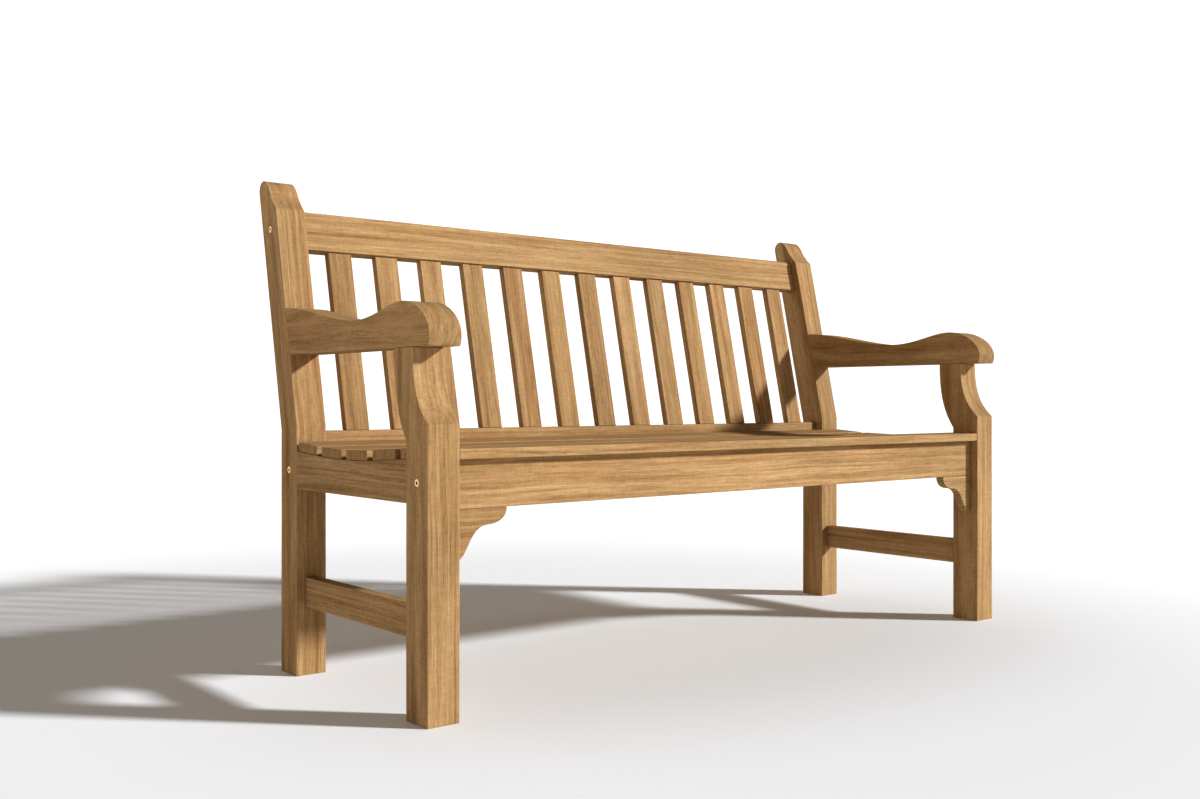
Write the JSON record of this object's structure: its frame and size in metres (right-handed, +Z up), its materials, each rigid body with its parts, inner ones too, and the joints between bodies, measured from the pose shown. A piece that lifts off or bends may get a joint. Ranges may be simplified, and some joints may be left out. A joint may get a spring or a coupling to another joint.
{
  "type": "garden bench",
  "caption": "Wooden garden bench with arms, a dished slatted seat and a raked back of upright slats between two rails.",
  "frame": {"origin": "on the ground, under the middle of the bench's length and depth", "axes": "+X along the bench to the right as seen from in front, +Y from the front of the seat to the back, +Z up"},
  "size_m": [1.5, 0.6262, 0.9199],
  "materials": {
    "teak": "bare sanded teak, satin, straight grain",
    "dowel_beech": "plain beech dowel, matt",
    "bolt_brass": "brass-plated steel, satin",
    "zinc_steel": "zinc-plated steel, satin"
  },
  "bodies": {
    "root": {"front_rail": "teak", "rear_rail": "teak", "back_top_rail": "teak", "seat_bearer": "teak", "seat_slat_1": "teak", "seat_slat_2": "teak", "seat_slat_3": "teak", "seat_slat_4": "teak", "seat_slat_5": "teak", "back_slat_01": "teak", "back_slat_02": "teak", "back_slat_03": "teak", "back_slat_04": "teak", "back_slat_05": "teak", "back_slat_06": "teak", "back_slat_07": "teak", "back_slat_08": "teak", "back_slat_09": "teak", "back_slat_10": "teak", "back_slat_11": "teak", "back_slat_12": "teak", "back_slat_13": "teak", "front_leg_left": "teak", "rear_leg_left": "teak", "armrest_left": "teak", "side_rail_left": "teak", "stretcher_left": "teak", "corner_bracket_left": "teak", "front_leg_right": "teak", "rear_leg_right": "teak", "armrest_right": "teak", "side_rail_right": "teak", "stretcher_right": "teak", "corner_bracket_right": "teak", "bracket_dowel_left": "dowel_beech", "bracket_dowel_right": "dowel_beech", "front_bolt_left": "bolt_brass", "rear_bolt_left": "bolt_brass", "top_bolt_left": "bolt_brass", "front_bolt_right": "bolt_brass", "rear_bolt_right": "bolt_brass", "top_bolt_right": "bolt_brass", "front_nut_left": "zinc_steel", "rear_nut_left": "zinc_steel", "top_nut_left": "zinc_steel", "front_nut_right": "zinc_steel", "rear_nut_right": "zinc_steel", "top_nut_right": "zinc_steel", "bearer_screw_1": "zinc_steel", "bearer_screw_2": "zinc_steel", "bearer_screw_3": "zinc_steel", "bearer_screw_4": "zinc_steel", "bearer_screw_5": "zinc_steel"}
  },
  "joints": []
}
